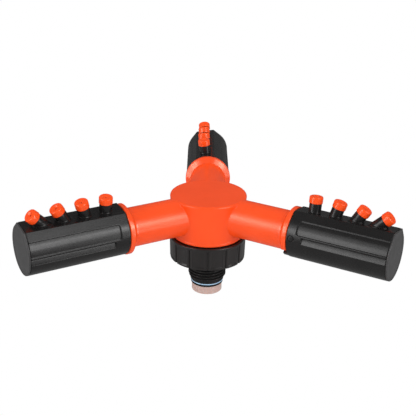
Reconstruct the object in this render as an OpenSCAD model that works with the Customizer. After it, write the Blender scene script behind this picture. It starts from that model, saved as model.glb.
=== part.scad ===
// Rotary garden sprinkler head: three arms with turnable nozzle barrels on a threaded inlet.
// Millimetres. +Z is up. The origin is on the spin axis, on the thread's shoulder.

/* [Arms] */
// height of the arm axes above the thread shoulder
arm_z = 33.4; // [32:0.1:40]
// radius of each arm tube
arm_r = 13.3; // [12.6:0.1:14]
// radius of the water way in each arm
arm_bore_r = 10.3; // [8:0.1:10.4]
// spin axis to the hub side of the flange
flange_s = 63.7; // [60:0.1:63.8]
// thickness of the flange at the end of each arm
flange_t = 3.2; // [3:0.1:3.3]
// outer radius of the flange
flange_r = 17.15; // [16.8:0.05:18]
// radius of the spigot that carries a barrel
spigot_r = 12.8; // [12.6:0.05:12.8]
// far end of the spigot
spigot_end = 76; // [75.7:0.1:76.5]

/* [Hub] */
// radius of the hub at its top edge
hub_top_r = 26.8; // [26:0.1:30]
// radius of the hub at its bottom edge
hub_bottom_r = 24.7; // [24:0.1:26]
// height of the hub's top face
hub_top = 46.9; // [46.8:0.1:50]
// height of the hub's bottom face
hub_bottom = 16.5; // [16.3:0.1:17]
// rounding of the hub's top edge
hub_round = 1.8; // [1:0.1:2.5]
// radius of the hollow in the hub
hub_cavity_r = 20.5; // [18:0.1:20.6]

/* [Nozzle barrels] */
// radius of the barrel shell
barrel_r = 16.6; // [16.4:0.1:17]
// inner end of the barrel
barrel_start = 67.2; // [67.2:0.1:67.4]
// spin axis to the outer face of the end cap
barrel_end = 135.2; // [134:0.1:145]
// height of the nozzle flat above the barrel axis
flat_h = 16.5; // [16:0.1:17]
// half width of the nozzle flat
flat_w = 7.1; // [6.5:0.1:7.5]
// radius of the hollow in the barrel
barrel_cavity_r = 13.8; // [13.2:0.1:14]
// turn of each barrel about its arm from upright, in degrees
rest_turn = 7.8; // [-16:0.1:16]
// where the index tab sits round the barrel, in degrees from the nozzle row
tab_at = 143; // [140:1:146]
// middle of the notch in the flange, in degrees from the top
notch_at = 145; // [143:1:147]
// half the angle the notch covers
notch_half = 30; // [30:1:32]

/* [Nozzles] */
// spin axis to the first nozzle, along the flat
nozzle_first = 78.4; // [78:0.1:80]
// distance from one nozzle to the next
nozzle_pitch = 14.25; // [13:0.05:14.5]
// how much further each nozzle leans out than the one before, in degrees
nozzle_lean = 15.3; // [0:0.1:15.5]
// radius of the nozzle stub
stub_r = 4.1; // [3.9:0.1:4.3]
// how much higher each nozzle stands than the one before, along its own axis
nozzle_rise = 0.13; // [0:0.01:0.3]
// height of the cap's lower edge above the flat
cap_low = 6.1; // [5.5:0.1:6.5]
// height of the cap's top above the flat
cap_top = 10.65; // [10.4:0.05:12]
// outer radius of the orifice cap
cap_r = 4.5; // [4.4:0.1:4.8]
// radius of the spray orifice
orifice_r = 0.6; // [0.4:0.05:1]

/* [Inlet] */
// outer radius of the grip collar at its top
collar_r = 26.9; // [26:0.1:28]
// height of the grip collar
collar_h = 15.9; // [15.4:0.1:16]
// number of grip grooves round the collar
groove_count = 13; // [10:1:18]
// major radius of the garden hose thread
thread_r = 13.45; // [13.1:0.01:13.5]
// length of the thread
thread_len = 16.6; // [14:0.1:16.8]
// radius of the plain nose below the thread
nose_r = 11.6; // [11.2:0.1:11.8]
// depth of the nose face below the shoulder
nose_depth = 18.6; // [18.5:0.1:20]
// radius of the spindle shank
shank_r = 8.45; // [8.4:0.01:8.46]
// radius of the water way through the spindle
inlet_r = 6.2; // [5:0.1:6.3]
// radius of the spindle head
head_r = 10.8; // [10.6:0.1:11.2]
// height of the spindle head
head_h = 6.2; // [6:0.1:8]

/* [Hidden] */
$fn = 64;
orange = [0.93, 0.28, 0.10];
black = [0.10, 0.10, 0.10];
natural = [0.86, 0.76, 0.72];
white = [0.84, 0.88, 0.92];
rubber = [0.06, 0.06, 0.07];
flange_end = flange_s + flange_t;
pin_s = barrel_start + 3.2;
seal_s = barrel_start + 6.4;
panel_s = barrel_start + 6.05;
groove_s = barrel_start + 10.1;
plate_t = 1.1;
barrel_tip = barrel_end - plate_t - 0.05;
run_gap = 0.05;
washer_t = 0.7;
seal_t = 1.7;
over = 1;
edge = 0.4;
flare = 2.4;
recess_r = 23;
recess_low = 4;
stem_bore_r = 8.9;
grip_r = 1.3;
collar_draft = 0.3;
bush_r = 10;
bush_len = 7.95;
bush_face_r = 12;
bush_face = 5.2;
thrust_r = 11.8;
thrust_top = bush_face + washer_t;
hub_skin = 3;
cavity_low = 20.4;
base_r = 21;
base_top = 20.9;
spindle_top = 21.5;
arm_bore_from = 12;
pin_r = 1.9;
stub_bore_r = 2.4;
stub_step = 0.7;
cap_skin = 1.3;
cap_edge = 0.9;
panel_at = 44;
panel_turn = 37.5;
groove_at = 90.5;
through = 80;
lip_t = 1.6;
lip_len = 5.5;
small_ring_z = -8;
head_top = -nose_depth - washer_t - seal_t - 0.1;
head_edge = 0.6;

// a ring from z0 to z1 between two radii
module ring(z0, z1, ri, ro)
  translate([0, 0, z0]) difference() {
    cylinder(h = z1 - z0, r = ro);
    translate([0, 0, -over]) cylinder(h = z1 - z0 + 2 * over, r = ri);
  }

// local z runs out along arm k, local x points up
module on_arm(k)
  rotate([0, 0, 90 + 120 * k]) translate([0, 0, arm_z])
    rotate([0, 90, 0]) rotate([0, 0, 180]) children();

// the same, turned with the barrel
module on_barrel(k)
  on_arm(k) rotate([0, 0, -rest_turn]) children();

// local z runs along nozzle i of arm k, from the flat
module on_nozzle(k, i)
  on_barrel(k) translate([flat_h, 0, nozzle_first + nozzle_pitch * i])
    rotate([0, 90 - nozzle_lean * i, 0]) translate([0, 0, nozzle_rise * i]) children();

// o-ring of cord radius c at mean radius r
module o_ring(r, c)
  rotate_extrude() translate([r, 0]) circle(r = c, $fn = 32);

// ---- inlet (stays still) ----

module grip_groove()
  translate([collar_r + 0.4, 0, -over]) cylinder(h = collar_h - over, r = grip_r, $fn = 4);

module inlet_collar() color(black) difference() {
  rotate_extrude() polygon([
    [0, -nose_depth], [nose_r - edge, -nose_depth], [nose_r, -nose_depth + edge],
    [nose_r, -thread_len - 1.5], [12, -thread_len - 1.5], [thread_r, -thread_len],
    [thread_r, 0], [collar_r - collar_draft - edge, 0], [collar_r - collar_draft, edge],
    [collar_r, collar_h - 0.6], [collar_r - 0.6, collar_h], [0, collar_h]]);
  translate([0, 0, recess_low]) cylinder(h = collar_h, r = recess_r);
  translate([0, 0, -nose_depth - over]) cylinder(h = nose_depth + 10, r = stem_bore_r);
  translate([0, 0, -nose_depth - over]) cylinder(h = bush_len + over + 0.05, r = bush_r);
  translate([0, 0, -recess_low]) cylinder(h = 2 * recess_low + over, r = bush_r);
  for (i = [0:groove_count - 1]) rotate([0, 0, 270 + i * 360 / groove_count]) grip_groove();
}

module upper_bush() color(white) union() {
  ring(-recess_low + 0.05, recess_low + 0.2, shank_r + run_gap, bush_r - 0.02);
  ring(recess_low + 0.05, bush_face, shank_r + run_gap, bush_face_r);
}

module lower_bush() color(white)
  ring(-nose_depth, -nose_depth + bush_len, shank_r + run_gap, bush_r - 0.02);

module upper_thrust_washer() color(white)
  ring(bush_face, thrust_top, shank_r + 0.2, thrust_r);

module lower_thrust_washer() color(white)
  ring(-nose_depth - 0.05 - washer_t, -nose_depth - 0.05, shank_r + 0.2, nose_r + 0.1);

// ---- hub, arms and spindle (spin together) ----

module hub_outside() rotate_extrude() union() {
  polygon([[0, hub_bottom], [hub_bottom_r + 0.3, hub_bottom],
    [hub_bottom_r + 0.3, hub_bottom + 1.2], [hub_bottom_r + 0.05, hub_bottom + 1.7],
    [hub_top_r, hub_top - hub_round], [hub_top_r - hub_round, hub_top - hub_round],
    [hub_top_r - hub_round, hub_top], [0, hub_top]]);
  translate([hub_top_r - hub_round, hub_top - hub_round]) circle(r = hub_round);
}

module arm_outside() {
  cylinder(h = flange_end, r = arm_r);
  rotate_extrude() polygon([[0, flange_s - flare], [arm_r, flange_s - flare],
    [flange_r - edge, flange_s], [flange_r, flange_s + edge], [flange_r, flange_end - edge],
    [flange_r - edge, flange_end], [0, flange_end]]);
  cylinder(h = spigot_end, r = spigot_r);
}

// notch in the flange that the index tab swings in
module flange_notch()
  rotate([0, 0, notch_at - notch_half]) rotate_extrude(angle = 2 * notch_half)
    translate([arm_r + 0.6, flange_s - 3]) square([6, flange_t + 4]);

module spigot_grooves() {
  ring(pin_s - 1.45, pin_s + 1.45, spigot_r - 1.4, spigot_r + over);
  ring(seal_s - 0.95, seal_s + 0.95, spigot_r - 1.35, spigot_r + over);
}

module hub_body() color(orange) difference() {
  union() {
    hub_outside();
    for (k = [0:2]) on_arm(k) arm_outside();
  }
  translate([0, 0, cavity_low])
    cylinder(h = hub_top - hub_skin - cavity_low, r = hub_cavity_r);
  translate([0, 0, hub_bottom - over]) cylinder(h = base_top + 0.1 + over - hub_bottom, r = base_r);
  for (k = [0:2]) on_arm(k) {
    translate([0, 0, arm_bore_from]) cylinder(h = spigot_end, r = arm_bore_r);
    flange_notch();
    spigot_grooves();
  }
}

module hub_base() color(orange) union() {
  ring(hub_bottom + 0.2, base_top, shank_r + 0.02, base_r - 0.03);
  ring(thrust_top + 0.2, hub_bottom + 0.3, shank_r + 0.02, bush_face_r);
}

module spindle() color(natural) difference() {
  union() {
    translate([0, 0, head_top]) cylinder(h = spindle_top - head_top, r = shank_r);
    rotate_extrude() union() {
      translate([0, head_top - head_h]) square([head_r - head_edge, head_h]);
      translate([0, head_top - head_h + head_edge]) square([head_r, head_h - head_edge]);
      translate([head_r - head_edge, head_top - head_h + head_edge]) circle(r = head_edge);
    }
  }
  translate([0, 0, head_top - head_h - over]) cylinder(h = through, r = inlet_r);
  translate([0, 0, head_top - head_h - 0.01])
    cylinder(h = 1.2, r1 = inlet_r + 1.2, r2 = inlet_r);
  ring(small_ring_z - 1.1, small_ring_z + 1.1, 7.1, shank_r + over);
}

module seal_ring() color(rubber)
  ring(head_top, head_top + seal_t, shank_r + 0.05, nose_r - 0.1);

module spindle_o_ring() color(rubber) translate([0, 0, small_ring_z]) o_ring(7.98, 0.87);

module arm_o_ring(k) color(rubber) on_arm(k) translate([0, 0, seal_s]) o_ring(12.13, 0.66);

// ---- nozzle barrels (each turns on its arm) ----

module barrel_section() union() {
  circle(r = barrel_r);
  polygon([[flat_h, flat_w], [flat_h, -flat_w], [flat_h - 4.2, -flat_w - 4.1],
    [0, -flat_w], [0, flat_w], [flat_h - 4.2, flat_w + 4.1]]);
}

// shallow side panel, and below it a long groove that is deepest along its upper edge
module side_relief(side) mirror([0, side < 0 ? 1 : 0, 0]) {
  rotate([0, 0, panel_at]) rotate_extrude(angle = panel_turn)
    translate([barrel_r - 0.4, panel_s]) square([3, through]);
  rotate([0, 0, groove_at]) translate([0, 0, groove_s]) linear_extrude(through)
    polygon([[barrel_r + 1, -2.2], [barrel_r - 0.2, -2.2], [barrel_r - 1.5, -1.3],
      [barrel_r - 0.1, 2.3], [barrel_r + 1, 2.3]]);
}

module barrel(k) color(black) {
  difference() {
    union() {
      on_barrel(k) translate([0, 0, barrel_start])
        linear_extrude(barrel_tip - barrel_start) barrel_section();
      for (i = [0:3]) on_nozzle(k, i) {
        translate([0, 0, -8]) cylinder(h = 8 + cap_low - 0.1, r = stub_r);
        cylinder(h = cap_top - cap_skin, r = stub_r - stub_step);
      }
      on_barrel(k) rotate([0, 0, tab_at - 5]) rotate_extrude(angle = 10)
        translate([arm_r + 1.1, flange_s + 0.4]) square([2.2, 6]);
    }
    on_barrel(k) {
      translate([0, 0, barrel_start - 5]) cylinder(h = through, r = spigot_r + run_gap);
      translate([0, 0, spigot_end + over]) cylinder(h = through, r = barrel_cavity_r);
      side_relief(1);
      side_relief(-1);
      translate([0, 0, pin_s]) rotate([-90, 0, 0]) cylinder(h = 30, r = pin_r);
    }
    for (i = [0:3]) on_nozzle(k, i) translate([0, 0, -7.5]) cylinder(h = 30, r = stub_bore_r);
  }
}

module end_cap(k) color(black) on_barrel(k) {
  translate([0, 0, barrel_end - plate_t]) linear_extrude(plate_t) barrel_section();
  ring(barrel_end - lip_len, barrel_end - plate_t + 0.1, barrel_cavity_r - lip_t,
    barrel_cavity_r - 0.03);
}

module retaining_pin(k) color(black) on_barrel(k) translate([0, 0, pin_s])
  rotate([-90, 0, 0]) {
    translate([0, 0, spigot_r + 0.25]) cylinder(h = barrel_r - spigot_r - 0.5, r = pin_r - 0.02);
    translate([0, 0, spigot_r - 1.05]) cylinder(h = 2, r = 1.2);
  }

module nozzle_cap(k, i) color(orange) on_nozzle(k, i) difference() {
  rotate_extrude() union() {
    translate([0, cap_low]) square([cap_r - cap_edge, cap_top - cap_low]);
    translate([0, cap_low]) square([cap_r, cap_top - cap_low - cap_edge]);
    translate([cap_r - cap_edge, cap_top - cap_edge]) circle(r = cap_edge);
  }
  translate([0, 0, cap_low - over])
    cylinder(h = cap_top - cap_skin + 0.1 - cap_low + over, r = stub_r - stub_step + 0.02);
  translate([0, 0, cap_low]) cylinder(h = 10, r = orifice_r);
  translate([0, 0, cap_top - 0.6]) cylinder(h = 0.61, r1 = orifice_r, r2 = 2);
}

// ---- the nodes ----

inlet_collar();
upper_bush();
lower_bush();
upper_thrust_washer();
lower_thrust_washer();
hub_body();
hub_base();
spindle();
seal_ring();
spindle_o_ring();
arm_o_ring(0);  // arm_o_ring_a
arm_o_ring(1);  // arm_o_ring_b
arm_o_ring(2);  // arm_o_ring_c
barrel(0);  // barrel_a
end_cap(0);  // end_cap_a
retaining_pin(0);  // retaining_pin_a
nozzle_cap(0, 0);  // nozzle_cap_a1
nozzle_cap(0, 1);  // nozzle_cap_a2
nozzle_cap(0, 2);  // nozzle_cap_a3
nozzle_cap(0, 3);  // nozzle_cap_a4
barrel(1);  // barrel_b
end_cap(1);  // end_cap_b
retaining_pin(1);  // retaining_pin_b
nozzle_cap(1, 0);  // nozzle_cap_b1
nozzle_cap(1, 1);  // nozzle_cap_b2
nozzle_cap(1, 2);  // nozzle_cap_b3
nozzle_cap(1, 3);  // nozzle_cap_b4
barrel(2);  // barrel_c
end_cap(2);  // end_cap_c
retaining_pin(2);  // retaining_pin_c
nozzle_cap(2, 0);  // nozzle_cap_c1
nozzle_cap(2, 1);  // nozzle_cap_c2
nozzle_cap(2, 2);  // nozzle_cap_c3
nozzle_cap(2, 3);  // nozzle_cap_c4
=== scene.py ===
"""Rotary garden sprinkler head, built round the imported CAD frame.

Lengths are in millimetres until a mesh is made.
"""

import math

import bpy
import numpy as np
from mathutils import Matrix


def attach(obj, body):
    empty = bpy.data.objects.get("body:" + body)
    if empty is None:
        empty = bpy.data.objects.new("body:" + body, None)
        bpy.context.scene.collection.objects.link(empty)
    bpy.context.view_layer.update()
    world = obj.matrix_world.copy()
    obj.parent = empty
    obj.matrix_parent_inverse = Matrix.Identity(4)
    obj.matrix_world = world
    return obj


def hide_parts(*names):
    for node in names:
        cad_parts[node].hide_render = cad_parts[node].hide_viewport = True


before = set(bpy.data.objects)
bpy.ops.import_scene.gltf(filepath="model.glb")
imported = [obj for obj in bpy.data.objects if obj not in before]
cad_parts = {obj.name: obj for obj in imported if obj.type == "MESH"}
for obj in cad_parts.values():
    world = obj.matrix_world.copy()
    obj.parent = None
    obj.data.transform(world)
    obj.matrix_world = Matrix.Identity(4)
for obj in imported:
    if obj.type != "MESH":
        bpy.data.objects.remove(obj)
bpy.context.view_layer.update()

# ---- sizes, as in the CAD ----
# R is a radius, S a distance out along an arm from the spin axis, T a thickness
ARMS = "abc"
ARM_Z, ARM_R, ARM_BORE_R = 33.4, 13.3, 10.3
FLANGE_S, FLANGE_T, FLANGE_R = 63.7, 3.2, 17.15
SPIGOT_R, SPIGOT_END = 12.8, 76.0
HUB_TOP_R, HUB_BOTTOM_R = 26.8, 24.7
HUB_TOP, HUB_BOTTOM = 46.9, 16.5
BARREL_R, BARREL_START, BARREL_END = 16.6, 67.2, 135.2
PLATE_T = 1.1
CAVITY_R = 13.8
# the flat under the nozzles lies FLAT_H from the barrel's axis and ends at the angle FLAT_A, where a facet
# starts that runs into the round at FACET_A. Angles round a barrel are in degrees from the nozzle row.
FLAT_H, FLAT_A = 16.5, 23.3
FACET_D, FACET_A, FACET_ROUND = 16.605, 45.7, 0.22
REST_TURN, TAB_AT, NOTCH_AT, NOTCH_HALF = 7.8, 143.0, 145.0, 30.0
NOZZLE_COUNT, NOZZLE_FIRST, NOZZLE_PITCH, NOZZLE_LEAN, NOZZLE_RISE = 4, 78.4, 14.25, 15.3, 0.13
# heights of the nozzle's parts are measured from the flat
STUB_R, CAP_LOW, CAP_TOP, CAP_R, SPRAY_R = 4.1, 6.1, 10.65, 4.5, 0.45
COLLAR_R, COLLAR_BORE_R, COLLAR_H, GROOVES, COLLAR_DRAFT = 26.9, 23.0, 15.9, 13, 0.3
THREAD_R, THREAD_LEN, THREAD_PITCH, THREAD_DEPTH = 13.45, 16.6, 2.209, 1.35
NOSE_R, NOSE_DEPTH = 11.6, 18.6
WASHER_T, SEAL_T = 0.7, 1.7
SHANK_R, INLET_R, HEAD_R, HEAD_H = 8.45, 6.2, 10.8, 6.2
HEAD_TOP = -NOSE_DEPTH - WASHER_T - SEAL_T - 0.1
PIN_S, PANEL_S, GROOVE_S = BARREL_START + 3.2, BARREL_START + 6.05, BARREL_START + 10.1
# sides of a large round piece
SIDES = 96
MM = 0.001
UP = np.array([0.0, 0.0, 1.0])
ORIGIN = np.zeros(3)


# ---- mesh making ----
def smooth(x, a, b):
    """0 at a and on its side, 1 at b and on its side, and a smooth step between them."""
    t = np.clip((x - a) / (b - a), 0.0, 1.0)
    return t * t * (3 - 2 * t)


def smin(a, b, k):
    """Smallest of a and b, with the crease rounded over a width k."""
    h = np.maximum(k - np.abs(a - b), 0.0) / np.maximum(k, 1e-9)
    return np.minimum(a, b) - h * h * k * 0.25


class Piece:
    """Faces gathered for one object."""

    def __init__(self):
        self.v, self.f, self.n = [], [], 0

    def add(self, verts, faces):
        self.v.append(np.asarray(verts, float).reshape(-1, 3))
        self.f.extend(tuple(int(i) + self.n for i in f) for f in faces)
        self.n += len(self.v[-1])

    def grid(self, p, wrap_u=False, wrap_v=False, cap=False):
        """Quads over an array of points (u, v, 3). cap closes the first and last rows."""
        nu, nv = p.shape[:2]
        ids = np.arange(nu * nv).reshape(nu, nv)
        a = ids if wrap_u else ids[:-1]
        b = np.roll(ids, -1, 0) if wrap_u else ids[1:]
        if wrap_v:
            a2, b2 = np.roll(a, -1, 1), np.roll(b, -1, 1)
        else:
            a, a2, b, b2 = a[:, :-1], a[:, 1:], b[:, :-1], b[:, 1:]
        faces = np.stack([a, a2, b2, b], -1).reshape(-1, 4).tolist()
        if cap:
            faces += [ids[0][::-1].tolist(), ids[-1].tolist()]
        self.add(p, faces)

    def make(self, name, material, body, nodes, sharp=38.0):
        """One object that moves with its body. Edges over sharp degrees stay sharp, and 0 smooths all."""
        mesh = bpy.data.meshes.new(name)
        mesh.from_pydata((np.concatenate(self.v) * MM).tolist(), [], self.f)
        mesh.validate()
        mesh.update()
        mesh.shade_smooth()
        if sharp:
            mesh.set_sharp_from_angle(angle=math.radians(sharp))
        obj = bpy.data.objects.new(name, mesh)
        bpy.context.scene.collection.objects.link(obj)
        mesh.materials.append(material)
        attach(obj, body)
        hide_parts(*nodes)
        return obj


def rounded(points, seg=5):
    """A closed profile from (r, h, radius) corners, each rounded to its radius in seg steps."""
    out = []
    n = len(points)
    for i, (x, y, rad) in enumerate(points):
        p = np.array([x, y])
        if rad <= 0:
            out.append(p)
            continue
        a = np.array(points[i - 1][:2]) - p
        b = np.array(points[(i + 1) % n][:2]) - p
        la, lb = np.linalg.norm(a), np.linalg.norm(b)
        a, b = a / la, b / lb
        half = math.acos(float(np.clip(a @ b, -1, 1))) / 2
        cut = min(rad / math.tan(half), 0.48 * la, 0.48 * lb)
        true = cut * math.tan(half)
        mid = (a + b) / np.linalg.norm(a + b)
        centre = p + mid * true / math.sin(half)
        s, e = p + a * cut - centre, p + b * cut - centre
        t0, t1 = math.atan2(s[1], s[0]), math.atan2(e[1], e[0])
        d = (t1 - t0 + math.pi) % (2 * math.pi) - math.pi
        for j in range(seg + 1):
            t = t0 + d * j / seg
            out.append(centre + true * np.array([math.cos(t), math.sin(t)]))
    return np.array(out)


def full_turn(n):
    """n angles spread evenly round a circle, in radians."""
    return np.linspace(0, 2 * np.pi, n, endpoint=False)


def turned(profile, phi, axes):
    """Points of a closed profile (r, h) turned through the angles phi about axes = (origin, ex, ey, ez)."""
    o, ex, ey, ez = axes
    r, h = profile[:, 0, None, None], profile[:, 1, None, None]
    ring = np.cos(phi)[None, :, None] * ex + np.sin(phi)[None, :, None] * ey
    return o + h * ez + r * ring


def add_turned(piece, points, n, axes, seg=5):
    """Add a solid of revolution with n sides, from rounded corners (r, h, radius)."""
    piece.grid(turned(rounded(points, seg), full_turn(n), axes), wrap_u=True, wrap_v=True)


Z_AXES = (ORIGIN, np.array([1.0, 0, 0]), np.array([0, 1.0, 0]), UP)


def arm_angle(k):
    """Direction of arm k in degrees, seen from above. Arm 0 points to the back."""
    return 90.0 + 120.0 * k


def arm_axes(k, turn=0.0):
    """origin, up, clockwise tangent and outward direction of arm k, turned about it in degrees."""
    a, t = math.radians(arm_angle(k)), math.radians(turn)
    d = np.array([math.cos(a), math.sin(a), 0.0])
    left = np.array([-math.sin(a), math.cos(a), 0.0])
    up = math.cos(t) * UP + math.sin(t) * left
    return np.array([0.0, 0.0, ARM_Z]), up, np.cross(d, up), d


def nozzle_axes(k, i):
    """origin on the flat, two directions across and the nozzle's own direction, for nozzle i of arm k."""
    o, up, _, d = arm_axes(k, REST_TURN)
    lean = math.radians(NOZZLE_LEAN * i)
    ax = math.cos(lean) * up + math.sin(lean) * d
    ex = math.cos(lean) * d - math.sin(lean) * up
    base = o + FLAT_H * up + (NOZZLE_FIRST + NOZZLE_PITCH * i) * d + NOZZLE_RISE * i * ax
    return base, ex, np.cross(ax, ex), ax


# ---- materials ----
# sockets of a Mix node that mixes colours
MIX_FACTOR, MIX_A, MIX_B, MIX_RESULT = 0, 6, 7, 2
# sizes of the patterns in the plastic, and how far the marks are drawn out
DRIFT_SIZE, SPECK_SIZE, GLOSS_SIZE, MARK_SIZE, MARK_DRAWN = 18.0, 1.2, 5.0, 2.2, 0.035
SPECK_SHARE, GRAIN_HEIGHT, SKIN_DEPTH = 0.15, 0.12, 2.0
# how dark the painted shade in the thread's roots is, how much rougher the roots are, and the depths between
# which they turn so
ROOT_PAINTED_SHADE, ROOT_ROUGHER, ROOT_TOP, ROOT_LOW = 0.15, 0.45, 0.1, 0.9


def plastic(name, colour, rough, grain=0.05, mottle=0.06, grain_size=0.25, spec=0.5, sub=0.0, marks=0.0,
            tint=(1.0, 1.0, 1.0), along=0.0, painted_shade_and_dull_below=None):
    """Moulded plastic: slow colour drift, fine moulding grain, uneven gloss and faint drawn-out marks.

    The marks run in the direction along, in degrees. Below the height given as the last argument, the roots
    of the inlet thread get painted shade, a darker colour where their shadow falls, and are rougher.
    """
    m = bpy.data.materials.new(name)
    m.use_nodes = True
    n, link = m.node_tree.nodes, m.node_tree.links.new
    bsdf = n["Principled BSDF"]
    bsdf.inputs["Specular IOR Level"].default_value = spec
    bsdf.inputs["IOR"].default_value = 1.5
    bsdf.inputs["Specular Tint"].default_value = (*tint, 1)
    if sub:
        bsdf.inputs["Subsurface Weight"].default_value = sub
        bsdf.inputs["Subsurface Radius"].default_value = (1.0, 0.6, 0.45)
        bsdf.inputs["Subsurface Scale"].default_value = SKIN_DEPTH * MM
    co = n.new("ShaderNodeTexCoord")

    def noise(size, detail, source=co.outputs["Object"]):
        t = n.new("ShaderNodeTexNoise")
        t.inputs["Scale"].default_value = 1 / (size * MM)
        t.inputs["Detail"].default_value = detail
        link(source, t.inputs["Vector"])
        return t.outputs["Fac"]

    def drawn_out():
        turn = n.new("ShaderNodeVectorRotate")
        turn.rotation_type = "Z_AXIS"
        turn.inputs["Angle"].default_value = math.radians(-along)
        link(co.outputs["Object"], turn.inputs["Vector"])
        stretch = n.new("ShaderNodeMapping")
        stretch.inputs["Scale"].default_value = (MARK_DRAWN, 1.0, 1.0)
        link(turn.outputs["Vector"], stretch.inputs["Vector"])
        return stretch.outputs["Vector"]

    def ramp(source, low, high, a=0.3, b=0.7):
        r = n.new("ShaderNodeMapRange")
        r.inputs["From Min"].default_value = a
        r.inputs["From Max"].default_value = b
        r.inputs["To Min"].default_value = low
        r.inputs["To Max"].default_value = high
        link(source, r.inputs["Value"])
        return r.outputs["Result"]

    def combined(operation, a, b):
        both = n.new("ShaderNodeMath")
        both.operation = operation
        link(a, both.inputs[0])
        link(b, both.inputs[1])
        return both.outputs[0]

    def mixed(factor, dark):
        """A mix from the colour dark to whatever is linked or set in MIX_B of the node that comes back."""
        mix = n.new("ShaderNodeMix")
        mix.data_type = "RGBA"
        mix.inputs[MIX_A].default_value = (*dark, 1)
        link(factor, mix.inputs[MIX_FACTOR])
        return mix

    def outside_painted_root_shade():
        """1 above the painted shade's height and on the thread's crests, 0 in its roots, which get painted
        shade.
        """
        height = n.new("ShaderNodeSeparateXYZ")
        link(co.outputs["Object"], height.inputs[0])
        flat = n.new("ShaderNodeVectorMath")
        flat.operation = "MULTIPLY"
        flat.inputs[1].default_value = (1.0, 1.0, 0.0)
        link(co.outputs["Object"], flat.inputs[0])
        radius = n.new("ShaderNodeVectorMath")
        radius.operation = "LENGTH"
        link(flat.outputs["Vector"], radius.inputs[0])
        above = ramp(height.outputs["Z"], 0.0, 1.0, (painted_shade_and_dull_below - 1) * MM, (painted_shade_and_dull_below + 1) * MM)
        root_r, crest_r = (THREAD_R - ROOT_LOW) * MM, (THREAD_R - ROOT_TOP) * MM
        crest = ramp(radius.outputs["Value"], 0.0, 1.0, root_r, crest_r)
        return combined("MAXIMUM", above, crest)

    speckled = n.new("ShaderNodeMath")
    speckled.operation = "MULTIPLY_ADD"
    speckled.inputs[1].default_value = SPECK_SHARE
    link(noise(SPECK_SIZE, 4), speckled.inputs[0])
    link(ramp(noise(DRIFT_SIZE, 3), 0.0, 1 - SPECK_SHARE), speckled.inputs[2])
    mix = mixed(speckled.outputs[0], [c * (1 - mottle) for c in colour])
    mix.inputs[MIX_B].default_value = (*[min(1, c * (1 + mottle) + 0.002) for c in colour], 1)
    shade = mix.outputs[MIX_RESULT]
    gloss = ramp(noise(GLOSS_SIZE, 3), rough * 0.93, rough * 1.08)
    if marks:
        lines = ramp(noise(MARK_SIZE, 4, drawn_out()), -marks, marks, 0.35, 0.65)
        gloss = combined("ADD", gloss, lines)
    # painted shade: the thread's roots are darkened in colour to stand in for the shadow in them, and they
    # are also made rougher
    if painted_shade_and_dull_below is not None:
        unshaded = outside_painted_root_shade()
        mix = mixed(unshaded, [c * ROOT_PAINTED_SHADE for c in colour])
        link(shade, mix.inputs[MIX_B])
        shade = mix.outputs[MIX_RESULT]
        gloss = combined("ADD", gloss, ramp(unshaded, ROOT_ROUGHER, 0.0, 0.0, 1.0))
    link(shade, bsdf.inputs["Base Color"])
    link(gloss, bsdf.inputs["Roughness"])
    bump = n.new("ShaderNodeBump")
    bump.inputs["Strength"].default_value = grain
    bump.inputs["Distance"].default_value = GRAIN_HEIGHT * MM
    link(noise(grain_size, 3), bump.inputs["Height"])
    link(bump.outputs["Normal"], bsdf.inputs["Normal"])
    return m


ORANGE_COLOUR, ORANGE_TINT = (0.96, 0.076, 0.009), (1.0, 0.9, 0.72)
ORANGE = plastic("orange_plastic", ORANGE_COLOUR, 0.25, grain=0.008, mottle=0.03, spec=0.58, sub=0.04,
                 tint=ORANGE_TINT)
ORANGE_FLANGE = plastic("orange_flange_plastic", ORANGE_COLOUR, 0.19, grain=0.005, mottle=0.02, spec=1.0,
                        sub=0.04, tint=ORANGE_TINT)
ORANGE_CAP = plastic("orange_cap_plastic", (0.97, 0.080, 0.009), 0.18, grain=0.008, mottle=0.03, spec=0.65,
                     sub=0.04, tint=ORANGE_TINT)
BLACK = [plastic("black_plastic_" + arm, (0.0102, 0.0096, 0.0096), 0.25, grain=0.012, mottle=0.10,
                 grain_size=0.6, marks=0.035, along=arm_angle(k)) for k, arm in enumerate(ARMS)]
# the collar's thread gets painted shade in its roots below 0.5 mm
BLACK_COLLAR = plastic("black_collar_plastic", (0.0132, 0.0108, 0.0103), 0.30, grain=0.03, mottle=0.10,
                       grain_size=0.6, spec=0.75, painted_shade_and_dull_below=0.5)
# painted light: the end plates are the barrels' black plastic, coloured a lighter grey to stand in for the
# floor light they reflect
END_PLATE_PAINTED_LIGHT = plastic("grey_plastic", (0.047, 0.0455, 0.0462), 0.36, grain=0.03, mottle=0.06, grain_size=0.5)
NATURAL = plastic("natural_plastic", (0.58, 0.41, 0.365), 0.30, grain=0.06, mottle=0.03, sub=0.25)
WHITE = plastic("acetal_white", (0.80, 0.80, 0.77), 0.35, grain=0.05, mottle=0.03)
PTFE = plastic("ptfe_white", (0.46, 0.68, 0.90), 0.42, grain=0.06, mottle=0.03, sub=0.15)
RUBBER = plastic("black_rubber", (0.006, 0.006, 0.0065), 0.55, grain=0.30, mottle=0.12, grain_size=0.2,
                 spec=0.3)


# ---- hub, arms and flanges ----
HUB_ROUND, FOOT_ROUND = 1.5, 0.3
HUB_MID = 0.5 * (HUB_TOP + HUB_BOTTOM)
TAPER = (HUB_TOP_R - HUB_BOTTOM_R) / (HUB_TOP - HUB_BOTTOM)
# the hub's top falls by CROWN towards its rim, and its foot stands out by FOOT_STEP
CROWN, FOOT_STEP = 0.25, 0.33
FOOT_LOW, FOOT_HIGH = HUB_BOTTOM + 1.3, HUB_BOTTOM + 1.9
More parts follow.
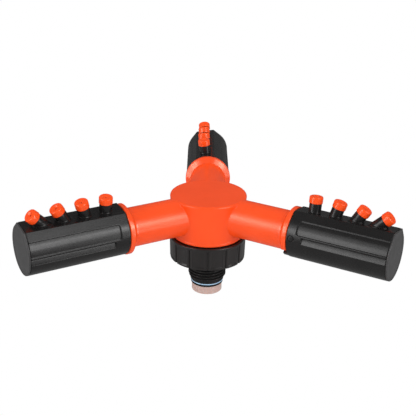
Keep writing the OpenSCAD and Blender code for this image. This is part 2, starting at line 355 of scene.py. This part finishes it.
# the crease between hub and arms is rounded more from CREASE_LOW down than from CREASE_HIGH up
CREASE, CREASE_MORE, CREASE_LOW, CREASE_HIGH = 0.1, 0.35, HUB_TOP - 3.0, HUB_TOP - 0.6
# the skin's arms start inside the hub and end inside the flange's flare
ARM_START, ARM_CUT = 5.0, 61.5
FLARE_S = FLANGE_S - 4.2
VOXEL = 0.6


def rounded_corner(a, b, r):
    """Distance to the corner of two half spaces, rounded to radius r."""
    qa, qb = a + r, b + r
    return np.hypot(np.maximum(qa, 0), np.maximum(qb, 0)) + np.minimum(np.maximum(qa, qb), 0) - r


def hub_distance(p):
    """Distance of points from the skin of the hub and arms, negative inside."""
    rho, z = np.hypot(p[:, 0], p[:, 1]), p[:, 2]
    side = (rho - HUB_BOTTOM_R - (z - HUB_BOTTOM) * TAPER) / math.hypot(1, TAPER)
    foot = FOOT_STEP * smooth(z, FOOT_HIGH, FOOT_LOW)
    top = rounded_corner(side, z - HUB_TOP + CROWN * (rho / HUB_TOP_R) ** 2, HUB_ROUND)
    low = rounded_corner(side - foot, HUB_BOTTOM - z, FOOT_ROUND)
    hub = np.where(z > HUB_MID, top, low)
    arms = np.full(len(p), np.inf)
    for k in range(3):
        o, _, _, d = arm_axes(k)
        q = p - o
        s = q @ d
        off_axis = np.linalg.norm(q - s[:, None] * d, axis=1)
        tube = np.hypot(np.maximum(-s, 0), off_axis) - ARM_R
        arms = np.minimum(arms, tube)
    return smin(hub, arms, CREASE_MORE * smooth(z, CREASE_HIGH, CREASE_LOW) + CREASE)


def hub_gradient(p, e=0.02):
    """Directions straight out of the skin, from differences over a step e."""
    g = np.empty_like(p)
    for i in range(3):
        q = np.zeros(3)
        q[i] = e
        g[:, i] = hub_distance(p + q) - hub_distance(p - q)
    return g / np.maximum(np.linalg.norm(g, axis=1, keepdims=True), 1e-9)


def remeshed(rough):
    """Points and faces of a piece's outside, rebuilt as one even skin."""
    mesh = bpy.data.meshes.new("rough")
    mesh.from_pydata(np.concatenate(rough.v).tolist(), [], rough.f)
    obj = bpy.data.objects.new("rough", mesh)
    bpy.context.scene.collection.objects.link(obj)
    mod = obj.modifiers.new("remesh", "REMESH")
    mod.mode = "VOXEL"
    mod.voxel_size = VOXEL
    done = bpy.data.meshes.new_from_object(obj.evaluated_get(bpy.context.evaluated_depsgraph_get()))
    p = np.empty(len(done.vertices) * 3)
    done.vertices.foreach_get("co", p)
    faces = [tuple(f.vertices) for f in done.polygons]
    bpy.data.objects.remove(obj)
    return p.reshape(-1, 3), faces


def hub_skin():
    """The hub and arm tubes as one skin with rounded creases, drawn onto the exact surface."""
    rough = Piece()
    drum = np.array([[0.01, HUB_BOTTOM], [HUB_BOTTOM_R, HUB_BOTTOM], [HUB_TOP_R, HUB_TOP], [0.01, HUB_TOP]])
    rough.grid(turned(drum, full_turn(SIDES), Z_AXES), wrap_v=True, cap=True)
    tube = np.array([[ARM_R, ARM_START], [ARM_R, ARM_CUT]])
    for k in range(3):
        rough.grid(turned(tube, full_turn(SIDES), arm_axes(k)), wrap_v=True, cap=True)
    p, faces = remeshed(rough)
    ends = np.zeros(len(p), bool)
    for k in range(3):
        ends |= p @ arm_axes(k)[3] > ARM_CUT - VOXEL
    for _ in range(8):
        move = hub_gradient(p) * hub_distance(p)[:, None]
        move[ends] = 0.0
        p = p - np.clip(move, -1.0, 1.0)
    # the open ends shrink a little, so that they stay inside the flare
    for k in range(3):
        o, _, _, d = arm_axes(k)
        s = (p - o) @ d
        axis = o + s[:, None] * d
        out = p - axis
        length = np.linalg.norm(out, axis=1, keepdims=True)
        shrink = np.minimum(1.0, (ARM_R - 0.25) / np.maximum(length, 1e-6))
        mine = ends & (s > 0)
        p[mine] = (axis + out * shrink)[mine]
    return p, faces


def flange_points(k):
    """Flange with its flare and spigot, with the notch for the index tab cut out of it."""
    front = FLANGE_S + FLANGE_T
    ring = rounded([
        (ARM_R - 1.2, FLARE_S, 0), (ARM_R + 0.02, FLARE_S + 0.6, 0), (ARM_R + 0.04, FLARE_S + 1.8, 0.4),
        (FLANGE_R - 0.35, FLANGE_S + 0.05, 0.3), (FLANGE_R, FLANGE_S + 0.4, 0.2), (FLANGE_R, front, 0.4),
        (SPIGOT_R, front, 0.25), (SPIGOT_R, SPIGOT_END, 0.5), (ARM_BORE_R, SPIGOT_END, 0.5),
        (ARM_BORE_R, FLARE_S, 0)], 8)
    notch_edge = np.array([-0.25, 0.0, 0.25, 0.6])
    notch = [NOTCH_AT + sign * (NOTCH_HALF + notch_edge) for sign in (-1, 1)]
    deg = np.unique(np.concatenate([np.arange(0, 360, 3.0), *notch]))
    phi = np.radians(deg)
    p = turned(ring, phi, arm_axes(k))
    notch_r = ARM_R + 0.6
    cut = ring.copy()
    cut[(ring[:, 0] > notch_r) & (ring[:, 1] < front + 0.1), 0] = notch_r
    inside = np.abs(deg - NOTCH_AT) < NOTCH_HALF - 0.1
    p[:, inside] = turned(cut, phi[inside], arm_axes(k))
    return p


skin_points, skin_faces = hub_skin()
skin = Piece()
skin.add(skin_points, skin_faces)
hub = skin.make("hub_and_arms", ORANGE, "rotor", ["hub_body"], sharp=0)
slope = hub_gradient(skin_points)
for k in range(3):
    out = arm_axes(k)[3]
    slope[skin_points @ out > ARM_CUT - 0.3] = out
hub.data.normals_split_custom_set_from_vertices(slope.tolist())

flanges = Piece()
for k in range(3):
    flanges.grid(flange_points(k), wrap_u=True, wrap_v=True)
flanges.make("arm_flanges", ORANGE_FLANGE, "rotor", ["hub_body"], sharp=50)


# ---- nozzle barrels ----
TIP = BARREL_END - PLATE_T
EDGE_ROUND = 0.45
# the sunken panel and the groove beside it lie between these angles on both sides of the barrel
PANEL, PANEL_DEPTH, PANEL_CORNER, PANEL_SLOPE = (44.0, 80.6), 0.42, 2.0, 0.75
GROOVE, GROOVE_DEPTH, GROOVE_SLOPE = (82.8, 98.2), 1.5, 0.7
# the groove's section: shares of its width and of its depth
GROOVE_ACROSS = (0.0, 0.04, 0.09, 0.23, 0.94, 1.0)
GROOVE_DOWN = (0.0, 0.05, 0.22, 1.0, 0.12, 0.0)
PIN_SEAT_R, PIN_SEAT_DEPTH = 2.25, 0.5
DEGREE = math.radians(1.0) * BARREL_R


def barrel_radius(beta, s):
    """Radius of the barrel's outside at an angle from the nozzle row, in degrees, and a distance s."""
    b = np.abs(beta)
    near = np.minimum(b, FACET_A)
    flat = FLAT_H / np.cos(np.radians(near))
    facet = FACET_D / np.cos(np.radians(near - FACET_A))
    r = np.where(b > FACET_A, BARREL_R, smin(flat, facet, FACET_ROUND))
    middle, half = 0.5 * sum(PANEL) * DEGREE, 0.5 * (PANEL[1] - PANEL[0]) * DEGREE
    qx, qy = np.abs(b * DEGREE - middle) - half, PANEL_S - s
    r = r - PANEL_DEPTH * smooth(rounded_corner(qx, qy, PANEL_CORNER), 0.0, -PANEL_SLOPE)
    across = (b - GROOVE[0]) / (GROOVE[1] - GROOVE[0])
    down = np.interp(across, GROOVE_ACROSS, GROOVE_DOWN)
    r = r - GROOVE_DEPTH * down * smooth(GROOVE_S - s, 0.0, -GROOVE_SLOPE)
    from_pin = np.hypot((beta + 90.0) * DEGREE, s - PIN_S)
    r = r - PIN_SEAT_DEPTH * smooth(from_pin, PIN_SEAT_R, PIN_SEAT_R - 0.25)
    edge = np.clip(np.minimum(s - BARREL_START, TIP - s) / EDGE_ROUND, 0, 1)
    return r - EDGE_ROUND * (1 - np.sqrt(np.clip(1 - (1 - edge) ** 2, 0, 1)))


def both_ways(values):
    """Each value with a minus sign and with a plus sign."""
    return [sign * v for v in values for sign in (-1, 1)]


def barrel_lines():
    """Angles and distances of the barrel's mesh lines, close together where its shape changes."""
    groove = [GROOVE[0] + t * (GROOVE[1] - GROOVE[0]) for t in (0.0, 0.12, 0.23, 0.94)]
    marks = both_ways([FLAT_A, FACET_A, *PANEL, *groove]) + [-90 - 7.4, -90 + 7.4]
    fine = [m + o for m in marks for o in both_ways([0.0, 0.3, 0.6, 0.9, 1.3, 1.8, 2.4])]
    pin_seat = np.arange(-98, -81, 0.8)
    beta = np.unique(np.round(np.concatenate([np.arange(-180, 180, 3.0), fine, pin_seat]), 2))
    beta = beta[np.concatenate([[True], np.diff(beta) > 0.15])]
    ends = np.array([0.0, 0.04, 0.12, 0.25, EDGE_ROUND])
    s = np.unique(np.round(np.concatenate([
        BARREL_START + ends, TIP - ends, np.arange(BARREL_START + 0.8, BARREL_START + 12, 0.3),
        np.linspace(BARREL_START + 12, TIP - 0.6, 14)]), 3))
    return beta, s


def add_stub(piece, k, i):
    """A nozzle stub with a small fillet where it leaves the flat."""
    base, ex, ey, ax = nozzle_axes(k, i)
    up = arm_axes(k, REST_TURN)[1]
    phi = full_turn(56)
    ring = np.cos(phi)[:, None] * ex + np.sin(phi)[:, None] * ey
    wall = base + STUB_R * ring
    lift = -((wall - base) @ up) / (ax @ up)
    foot = wall + lift[:, None] * ax
    out = ring - (ring @ up)[:, None] * up
    out /= np.linalg.norm(out, axis=1, keepdims=True)
    # the fillet is a curve from a point out on the flat, by way of the foot, to a point up the wall
    fillet = 0.8
    high, low = foot + fillet * ax, foot + fillet * out - 0.01 * up
    rows = [foot + out - 1.5 * up]
    for t in np.linspace(0, 1, 7):
        rows.append((1 - t) ** 2 * low + 2 * t * (1 - t) * foot + t * t * high)
    rows.append(0.5 * (high + wall + (CAP_LOW - 0.3) * ax))
    for h, r in ((CAP_LOW - 0.35, STUB_R), (CAP_LOW - 0.15, STUB_R - 0.06), (CAP_LOW - 0.08, STUB_R - 0.2),
                 (CAP_LOW - 0.08, STUB_R - 0.7), (CAP_TOP - 1.5, STUB_R - 0.7),
                 (CAP_TOP - 1.4, STUB_R - 1.2)):
        rows.append(base + h * ax + r * ring)
    piece.grid(np.array(rows), wrap_v=True, cap=True)


def around(k, beta):
    """Directions out of barrel k's axis, at angles beta in degrees from the nozzle row."""
    _, up, side, _ = arm_axes(k, REST_TURN)
    b = np.radians(beta)
    return np.cos(b)[:, None] * up - np.sin(b)[:, None] * side


def add_barrel(piece, k):
    """The barrel's tube, stepped inside for the spigot and open towards the end plate."""
    beta, s = barrel_lines()
    o, _, _, d = arm_axes(k, REST_TURN)
    ring = around(k, beta)
    outer = barrel_radius(*np.meshgrid(beta, s))
    rows = [o + s_ * d + r_[:, None] * ring for s_, r_ in zip(s, outer)]
    sleeve_r = SPIGOT_R + 0.05
    inner = [(CAVITY_R + 0.3, TIP), (CAVITY_R, TIP - 0.3), (CAVITY_R, SPIGOT_END + 1.0),
             (sleeve_r, SPIGOT_END + 1.0), (sleeve_r, BARREL_START + 0.4), (SPIGOT_R + 0.45, BARREL_START)]
    rows += [o + s_ * d + r_ * ring for r_, s_ in inner]
    piece.grid(np.array(rows), wrap_u=True, wrap_v=True)


def add_tab(piece, k):
    """Index tab on the barrel's inner end, a curved block with rounded edges."""
    o, _, _, d = arm_axes(k, REST_TURN)
    low, high, half = ARM_R + 1.1, ARM_R + 3.3, 5.0
    middle = 0.5 * (low + high)
    section = rounded([(-half, low, 0.3), (half, low, 0.3), (half, high, 0.35), (-half, high, 0.35)], 3)
    rows = []
    for s_, shrink in ((FLANGE_S + 0.4, 0.80), (FLANGE_S + 0.5, 0.92), (FLANGE_S + 0.75, 1.0),
                       (BARREL_START + 0.5, 1.0)):
        r = middle + (section[:, 1] - middle) * shrink
        rows.append(o + s_ * d + r[:, None] * around(k, -TAB_AT - section[:, 0] * shrink))
    piece.grid(np.array(rows), wrap_v=True, cap=True)


def end_plate_points(k):
    """The end plate has the barrel's outline, a rounded edge, a fine raised rim and a spigot inside."""
    corners = [m + o for m in both_ways([FLAT_A, FACET_A]) for o in (-1.2, -0.6, 0.0, 0.6, 1.2)]
    beta = np.unique(np.round(np.concatenate([np.arange(-180, 180, 2.5), corners]), 2))
    o, _, _, d = arm_axes(k, REST_TURN)
    ring = around(k, beta)
    edge = barrel_radius(beta, np.full(len(beta), BARREL_START + 5.5))
    plug_r, face = CAVITY_R - 0.05, BARREL_END - 0.16
    plug = [(TIP - 4.0, plug_r), (TIP + 0.05, plug_r)]
    rim = [(TIP + 0.05, -0.35), (TIP + 0.2, -0.12), (TIP + 0.4, -0.04), (BARREL_END - 0.45, -0.04),
           (BARREL_END - 0.22, -0.12), (BARREL_END - 0.08, -0.25), (BARREL_END, -0.45), (BARREL_END, -0.95),
           (BARREL_END - 0.08, -1.1), (face, -1.25), (face, -4.0)]
    middle = [(face + 0.04, 6.0), (face + 0.05, 0.6)]
    rows = [(s, np.full(len(beta), r)) for s, r in plug]
    rows += [(s, edge + r) for s, r in rim]
    rows += [(s, np.full(len(beta), r)) for s, r in middle]
    return np.array([o + s * d + r[:, None] * ring for s, r in rows])


def add_pin(piece, k):
    """Round retaining pin in the barrel's side, with a dimple in its head."""
    o, up, side, d = arm_axes(k, REST_TURN)
    axes = (o + PIN_S * d, up, np.cross(side, up), side)
    tail_r, head_r, low, step, top = 1.2, 1.88, 11.75, 13.05, 16.42
    add_turned(piece, [
        (0.02, low, 0), (tail_r, low, 0.15), (tail_r, step, 0), (head_r, step, 0.1), (head_r, top, 0.35),
        (0.6, top + 0.04, 0.2), (0.35, top - 0.22, 0.1), (0.02, top - 0.22, 0)], 40, axes)


def add_cap(piece, k, i):
    """Nozzle cap, hollow round the stub, with a dimple and a spray hole in its top."""
    bore_r, inside = STUB_R - 0.68, CAP_TOP - 1.2
    add_turned(piece, [
        (bore_r, CAP_LOW, 0.12), (CAP_R, CAP_LOW, 0.25), (CAP_R, CAP_TOP, 1.0), (2.6, CAP_TOP, 0.35),
        (1.4, CAP_TOP - 0.7, 0.3), (SPRAY_R + 0.1, CAP_TOP - 0.8, 0.05), (SPRAY_R, CAP_TOP - 0.9, 0.05),
        (SPRAY_R, inside, 0.05), (bore_r, inside, 0.2)], 56, nozzle_axes(k, i), 6)


for k, arm in enumerate(ARMS):
    body = "nozzle_barrel_" + arm
    shell = Piece()
    add_barrel(shell, k)
    for i in range(NOZZLE_COUNT):
        add_stub(shell, k, i)
    add_tab(shell, k)
    shell.make("barrel_" + arm + "_shell", BLACK[k], body, ["barrel_" + arm], sharp=32)

    plate = Piece()
    plate.grid(end_plate_points(k), wrap_v=True, cap=True)
    plate.make("end_plate_" + arm, END_PLATE_PAINTED_LIGHT, body, ["end_cap_" + arm], sharp=40)

    pin = Piece()
    add_pin(pin, k)
    pin.make("side_pin_" + arm, BLACK[k], body, ["retaining_pin_" + arm], sharp=40)

    for i in range(NOZZLE_COUNT):
        cap = Piece()
        add_cap(cap, k, i)
        name = f"nozzle_cap_{arm}{i + 1}"
        cap.make(f"jet_cap_{arm}{i + 1}", ORANGE_CAP, body, [name], sharp=40)


# ---- grip collar and inlet thread ----
GROOVE_ANGLE = 360 / GROOVES
PAD_HALF = 180 / GROOVES * math.radians(1) * COLLAR_R
SLOT_DEPTH, SLOT_SHOULDER, SHOULDER_W, PAD_DEPTH = 0.40, 0.50, 1.3, 0.28
THREAD_STEP = 0.14


def collar_angles():
    """Angles of the collar's mesh lines, close together in and beside each groove."""
    steps = both_ways([0.0, 0.5, 0.9, 1.15, 1.35, 1.5, 1.7, 2.0, 2.3, 2.7, 3.2, 3.8, 4.2, 4.6, 5.0, 5.5, 6.0])
    fine = [(270 + j * GROOVE_ANGLE + step) % 360 for j in range(GROOVES) for step in steps]
    return np.unique(np.round(np.concatenate([np.arange(0, 360, 3.0), fine]), 3))


def grip_offset(z, gap):
    """How far the grip ring's outside stands off its plain shape, z up and at a distance gap from a groove.

    The ring has a slight draft. Each groove is a slot with rounded shoulders that fades out below the top
    edge, and the pads between the grooves are sunk a little, up to an arched line.
    """
    top = COLLAR_H - 2.0
    fade = smooth(z, top + 0.5, top - 0.5)
    arch = top + 0.2 - 1.5 * (1 - np.clip(gap / PAD_HALF, 0, 1)) ** 2
    pad = smooth(z, arch + 0.4, arch - 0.2) * smooth(z, 1.2, 1.8) * smooth(gap, 1.9, 2.7)
    u = np.clip(1 - (gap - 0.5) / SHOULDER_W, 0, 0.995)
    groove = SLOT_SHOULDER * (1 - np.sqrt(1 - u * u)) + SLOT_DEPTH * smooth(gap, 0.62, 0.42)
    return -COLLAR_DRAFT * (1 - z / COLLAR_H) - PAD_DEPTH * pad - fade * groove


def thread_radius(z, phi):
    """Radius of the inlet thread, which runs out at its top and is turned down at its start."""
    turn = (z / THREAD_PITCH - phi / (2 * np.pi)) % 1.0
    crest = np.clip(1.35 - np.abs(turn - 0.5) * 3.9, 0, 1)
    depth = THREAD_DEPTH * (1 - crest) * smooth(z, -0.3, -1.6)
    start = 1.3 * crest * smooth(z, -THREAD_LEN + 2.2, -THREAD_LEN + 0.2)
    return np.maximum(THREAD_R - depth - start, THREAD_R - THREAD_DEPTH - 0.01)


def collar_points():
    """The whole inlet as one closed skin: grooved grip ring, flat shoulder, thread and nose."""
    seg, neck_r, hub_gap, bore_r = 6, 12.0, 4.0, 8.9
    outside = rounded([(COLLAR_R, 0.0, 0.45), (COLLAR_R, COLLAR_H, 0.6), (COLLAR_BORE_R, COLLAR_H, 0.3),
                       (COLLAR_BORE_R, hub_gap, 0.4), (bore_r, hub_gap, 0.3), (bore_r, -NOSE_DEPTH, 0.3),
                       (NOSE_R, -NOSE_DEPTH, 0.4), (NOSE_R, -THREAD_LEN - 1.5, 0.2),
                       (neck_r, -THREAD_LEN - 1.5, 0.2), (neck_r, -THREAD_LEN - 0.6, 0)], seg)
    # the grip ring's straight wall gets rows of its own between its two rounded edges
    lower_edge, rest = outside[:seg + 1], outside[seg + 1:]
    wall = [(COLLAR_R, z) for z in np.arange(lower_edge[-1][1] + 0.5, COLLAR_H - 0.9, 0.4)]
    deg = collar_angles()
    phi = np.radians(deg)
    gap = np.abs((deg - 270 + GROOVE_ANGLE / 2) % GROOVE_ANGLE - GROOVE_ANGLE / 2)
    gap = gap * math.radians(1) * COLLAR_R
    rows = []
    for r, z in [*lower_edge, *wall, *rest]:
        grip = grip_offset(z, gap) if r > COLLAR_BORE_R + 0.5 else 0.0
        rows.append((np.full(len(deg), r) + grip, z))
    for z in np.arange(-THREAD_LEN - 0.4, -0.05, THREAD_STEP):
        rows.append((thread_radius(z, phi), z))
    return np.array([np.stack([r * np.cos(phi), r * np.sin(phi), np.full(len(deg), z)], -1) for r, z in rows])


collar = Piece()
collar.grid(collar_points(), wrap_u=True, wrap_v=True)
collar.make("grip_collar", BLACK_COLLAR, "inlet", ["inlet_collar"], sharp=36)

# ---- spindle, washers and rings that show below the nose ----
SPINDLE_TOP, HEAD_LOW = 21.5, HEAD_TOP - HEAD_H
WASHER_TOP = -NOSE_DEPTH - 0.05
WASHER_LOW, SEAL_TOP = WASHER_TOP - WASHER_T, HEAD_TOP + SEAL_T

spindle = Piece()
add_turned(spindle, [(INLET_R, SPINDLE_TOP, 0.2), (SHANK_R, SPINDLE_TOP, 0.4), (SHANK_R, HEAD_TOP, 0.3),
                     (HEAD_R, HEAD_TOP, 0.3), (HEAD_R, HEAD_LOW, 0.6), (INLET_R + 1.2, HEAD_LOW, 0.2),
                     (INLET_R, HEAD_LOW + 1.2, 0.3)], SIDES, Z_AXES, 8)
spindle.make("inlet_spindle", NATURAL, "rotor", ["spindle"])

washer = Piece()
add_turned(washer, [(SHANK_R + 0.2, WASHER_LOW, 0.1), (NOSE_R + 0.1, WASHER_LOW, 0.2),
                    (NOSE_R + 0.1, WASHER_TOP, 0.2), (SHANK_R + 0.2, WASHER_TOP, 0.1)], SIDES, Z_AXES, 4)
washer.make("nose_washer", PTFE, "inlet", ["lower_thrust_washer"])

seal = Piece()
add_turned(seal, [(SHANK_R + 0.05, HEAD_TOP, 0.1), (NOSE_R - 0.1, HEAD_TOP, 0.4),
                  (NOSE_R - 0.1, SEAL_TOP, 0.4), (SHANK_R + 0.05, SEAL_TOP, 0.1)], SIDES, Z_AXES, 6)
seal.make("spindle_seal", RUBBER, "rotor", ["seal_ring"])

# ---- CAD nodes that are right as they are ----
KEPT = {"upper_bush": WHITE, "lower_bush": WHITE, "upper_thrust_washer": PTFE, "hub_base": ORANGE,
        "spindle_o_ring": RUBBER, "arm_o_ring_a": RUBBER, "arm_o_ring_b": RUBBER, "arm_o_ring_c": RUBBER}
for node, material in KEPT.items():
    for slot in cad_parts[node].material_slots:
        slot.link = "OBJECT"
        slot.material = material

# ---- floor, world, light and camera ----
scene = bpy.context.scene
FLOOR_HALF, FLOOR_Z = 1800.0, -650.0
# how bright the floor and the room are in matt light and in reflections. The camera sees both as white.
FLOOR_MATT, FLOOR_MIRRORED = 0.8, 0.25
ROOM_MATT, ROOM_MIRRORED = 0.87, 0.115


def switched(tree, path, kind, others, chosen):
    """A value that is chosen for rays of one kind. For other rays it is a number, or a socket's value."""
    value = tree.nodes.new("ShaderNodeMapRange")
    value.inputs["To Max"].default_value = chosen
    tree.links.new(path.outputs[kind], value.inputs["Value"])
    if isinstance(others, float):
        value.inputs["To Min"].default_value = others
    else:
        tree.links.new(others, value.inputs["To Min"])
    return value.outputs["Result"]


floor_mesh = bpy.data.meshes.new("floor")
corners = [(x * FLOOR_HALF, y * FLOOR_HALF, FLOOR_Z) for x, y in ((-1, -1), (1, -1), (1, 1), (-1, 1))]
floor_mesh.from_pydata((np.array(corners) * MM).tolist(), [], [(0, 1, 2, 3)])
floor = bpy.data.objects.new("floor", floor_mesh)
scene.collection.objects.link(floor)
floor_mat = bpy.data.materials.new("pale_floor")
floor_mat.use_nodes = True
tree = floor_mat.node_tree
card = tree.nodes["Principled BSDF"]
card.inputs["Roughness"].default_value = 0.9
card.inputs["Specular IOR Level"].default_value = 0.0
white = tree.nodes.new("ShaderNodeEmission")
path = tree.nodes.new("ShaderNodeLightPath")
blend = tree.nodes.new("ShaderNodeMixShader")
tree.links.new(switched(tree, path, "Is Glossy Ray", FLOOR_MATT, FLOOR_MIRRORED), card.inputs["Base Color"])
tree.links.new(path.outputs["Is Camera Ray"], blend.inputs[0])
tree.links.new(card.outputs[0], blend.inputs[1])
tree.links.new(white.outputs[0], blend.inputs[2])
tree.links.new(blend.outputs[0], tree.nodes["Material Output"].inputs["Surface"])
floor_mesh.materials.append(floor_mat)

world = bpy.data.worlds.new("studio")
scene.world = world
world.use_nodes = True
tree = world.node_tree
background = tree.nodes["Background"]
background.inputs["Color"].default_value = (1.0, 1.0, 1.0, 1)
path = tree.nodes.new("ShaderNodeLightPath")
room = switched(tree, path, "Is Glossy Ray", ROOM_MATT, ROOM_MIRRORED)
tree.links.new(switched(tree, path, "Is Camera Ray", room, 1.0), background.inputs["Strength"])


def soft_sun(name, direction, width, power, mirrored=False, matt=False):
    """A round soft light far away, seen in reflections, in matt light or in both.

    direction is a unit vector from the object to the light, and width is in degrees.
    """
    data = bpy.data.lights.new(name, "SUN")
    data.angle = math.radians(width)
    data.energy = power
    lamp = bpy.data.objects.new(name, data)
    lamp.visible_glossy = mirrored
    lamp.visible_diffuse = matt
    scene.collection.objects.link(lamp)
    # the lamp faces the hub from 1 m away
    z = np.array(direction)
    x = np.cross([0, 1.0, 0], z)
    x /= np.linalg.norm(x)
    y = np.cross(z, x)
    lamp.matrix_world = Matrix(np.vstack([np.column_stack([x, y, z, z]), [0, 0, 0, 1]]).tolist())


# each box: compass angle, width, matt strength, then the height and mirrored strength of its parts
BOXES = (("left", -54.0, 23.0, 0.27, ((6.0, 0.12), (23.0, 0.40), (40.0, 0.15))),
         ("right", 46.0, 23.0, 0.26, ((6.0, 0.08), (23.0, 0.47), (40.0, 0.27))),
         ("left_edge", -70.0, 18.0, 0.0, ((-8.0, 0.24), (8.0, 0.15), (23.0, 0.28))),
         ("right_edge", 62.0, 18.0, 0.0, ((-8.0, 0.24), (8.0, 0.15), (23.0, 0.26))))
for box_name, turn, width, matt_power, parts in BOXES:
    for height, mirrored_power in parts:
        a, e = math.radians(turn), math.radians(height)
        toward = (math.sin(a) * math.cos(e), -math.cos(a) * math.cos(e), math.sin(e))
        lamp_name = "%s_%d" % (box_name, height)
        soft_sun(lamp_name + "_shine", toward, width, mirrored_power, mirrored=True)
        if matt_power:
            soft_sun(lamp_name + "_matt", toward, width, matt_power, matt=True)

# the camera looks down on the head from the front, a little rolled and turned
ELEVATION, ROLL, TURN = math.radians(22.863), math.radians(1.144), math.radians(0.668)
DISTANCE, SHIFT_X, SHIFT_Y = 569.2, 0.118, 1.969
LENS, SENSOR = 70.260577, 36.0


def turn_z(angle):
    """Matrix of a turn about the third axis."""
    c, s = math.cos(angle), math.sin(angle)
    return np.array([[c, -s, 0], [s, c, 0], [0, 0, 1]])


forward = np.array([0, math.cos(ELEVATION), -math.sin(ELEVATION)])
right = np.array([1.0, 0, 0])
view = turn_z(ROLL) @ np.stack([right, np.cross(forward, right), forward]) @ turn_z(TURN)
place = -view.T @ np.array([SHIFT_X, SHIFT_Y, DISTANCE]) + np.array([0, 0, ARM_Z])
cam_data = bpy.data.cameras.new("camera")
cam_data.sensor_width = SENSOR
cam_data.lens = LENS
cam_data.clip_start, cam_data.clip_end = 0.05, 20.0
camera = bpy.data.objects.new("camera", cam_data)
scene.collection.objects.link(camera)
pose = np.eye(4)
pose[:3, 0], pose[:3, 1], pose[:3, 2], pose[:3, 3] = view[0], -view[1], -view[2], place * MM
camera.matrix_world = Matrix(pose.tolist())
scene.camera = camera
scene.view_settings.view_transform = "Standard"
